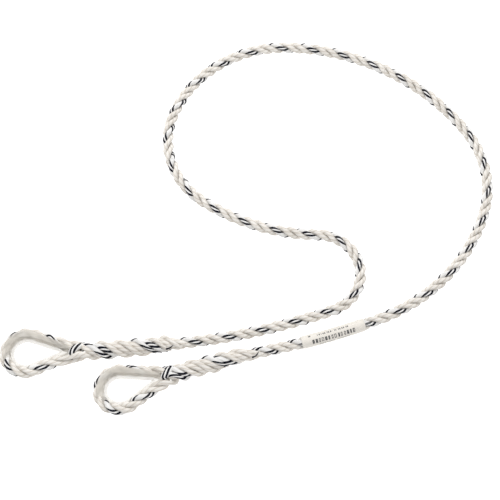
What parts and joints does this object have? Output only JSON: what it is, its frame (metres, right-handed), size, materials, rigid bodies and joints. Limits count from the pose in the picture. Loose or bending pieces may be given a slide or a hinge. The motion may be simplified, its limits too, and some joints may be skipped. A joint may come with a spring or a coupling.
{
  "type": "rope lanyard with thimble eyes",
  "caption": "Three-strand laid rope lanyard with a grooved plastic thimble eye spliced into each end, tracer yarns in one strand, and a label under a clear sleeve.",
  "frame": {"origin": "Crown centre of eye A's thimble, on the rope's mid-plane.", "axes": "+X runs from eye A's crown to its throat, +Z is normal to the plane the lanyard lies in, up, and +Y follows by the right hand."},
  "size_m": [0.5403, 0.4394, 0.017],
  "materials": {
    "rope_strand": "laid cream synthetic yarn with a soft sheen",
    "tracer_strand": "laid white synthetic yarn with two dark navy tracer yarns",
    "thimble": "natural translucent moulded plastic, satin",
    "label": "off-white printed film",
    "clear_sleeve": "clear glossy shrink film"
  },
  "bodies": {
    "eye_a": {"thimble_a": "thimble", "eye_a_strand_1": "tracer_strand", "eye_a_strand_2": "rope_strand", "eye_a_strand_3": "rope_strand", "splice_a_strand_1": "tracer_strand", "splice_a_strand_2": "rope_strand", "splice_a_strand_3": "rope_strand", "tail_a_1": "tracer_strand", "tail_a_2": "rope_strand", "tail_a_3": "rope_strand"},
    "run_a": {"run_a_strand_1": "tracer_strand", "run_a_strand_2": "rope_strand", "run_a_strand_3": "rope_strand"},
    "hairpin": {"hairpin_strand_1": "tracer_strand", "hairpin_strand_2": "rope_strand", "hairpin_strand_3": "rope_strand"},
    "back_run": {"back_run_strand_1": "tracer_strand", "back_run_strand_2": "rope_strand", "back_run_strand_3": "rope_strand"},
    "left_bend": {"left_bend_strand_1": "tracer_strand", "left_bend_strand_2": "rope_strand", "left_bend_strand_3": "rope_strand"},
    "far_left": {"far_left_strand_1": "tracer_strand", "far_left_strand_2": "rope_strand", "far_left_strand_3": "rope_strand"},
    "far_right": {"far_right_strand_1": "tracer_strand", "far_right_strand_2": "rope_strand", "far_right_strand_3": "rope_strand"},
    "right_bend": {"right_bend_strand_1": "tracer_strand", "right_bend_strand_2": "rope_strand", "right_bend_strand_3": "rope_strand"},
    "front_run": {"front_run_strand_1": "tracer_strand", "front_run_strand_2": "rope_strand", "front_run_strand_3": "rope_strand"},
    "label_run": {"label_run_strand_1": "tracer_strand", "label_run_strand_2": "rope_strand", "label_run_strand_3": "rope_strand", "label": "label", "label_sleeve": "clear_sleeve"},
    "eye_b": {"thimble_b": "thimble", "eye_b_strand_1": "tracer_strand", "eye_b_strand_2": "rope_strand", "eye_b_strand_3": "rope_strand", "splice_b_strand_1": "tracer_strand", "splice_b_strand_2": "rope_strand", "splice_b_strand_3": "rope_strand", "tail_b_1": "tracer_strand", "tail_b_2": "rope_strand", "tail_b_3": "rope_strand"}
  },
  "joints": [
    {"name": "left_bend_lift", "type": "hinge", "parent": "far_left", "child": "left_bend", "pos_m": [0.16227, 0.28119, 0], "axis": [-0.9135, 0.4067, 0], "range_deg": [-40, 40]},
    {"name": "back_run_lift", "type": "hinge", "parent": "left_bend", "child": "back_run", "pos_m": [0.19126, 0.16907, 0], "axis": [-0.6018, -0.7986, 0], "range_deg": [-40, 40]},
    {"name": "hairpin_lift", "type": "hinge", "parent": "back_run", "child": "hairpin", "pos_m": [0.31612, 0.12301, 0], "axis": [-0.061, -0.9981, 0], "range_deg": [-40, 40]},
    {"name": "run_a_swing", "type": "hinge", "parent": "hairpin", "child": "run_a", "pos_m": [0.32692, 0.03509, 0], "axis": [0, 0, 1], "range_deg": [-40, 0]},
    {"name": "eye_a_lift", "type": "hinge", "parent": "run_a", "child": "eye_a", "pos_m": [0.18009, 0.00589, 0], "axis": [-0.0872, 0.9962, 0], "range_deg": [-40, 40]},
    {"name": "far_right_lift", "type": "hinge", "parent": "far_left", "child": "far_right", "pos_m": [0.29507, 0.36098, 0], "axis": [-0.0698, -0.9976, 0], "range_deg": [-40, 40]},
    {"name": "right_bend_swing", "type": "hinge", "parent": "far_right", "child": "right_bend", "pos_m": [0.48913, 0.24438, 0], "axis": [0, 0, 1], "range_deg": [0, 40]},
    {"name": "front_run_lift", "type": "hinge", "parent": "right_bend", "child": "front_run", "pos_m": [0.49837, 0.13881, 0], "axis": [-0.9272, 0.3746, 0], "range_deg": [-40, 40]},
    {"name": "label_run_swing", "type": "hinge", "parent": "front_run", "child": "label_run", "pos_m": [0.37483, 0.0226, 0], "axis": [0, 0, 1], "range_deg": [0, 40]},
    {"name": "eye_b_lift", "type": "hinge", "parent": "label_run", "child": "eye_b", "pos_m": [0.25863, -0.00692, 0], "axis": [-0.1736, 0.9848, 0], "range_deg": [-40, 40]}
  ]
}
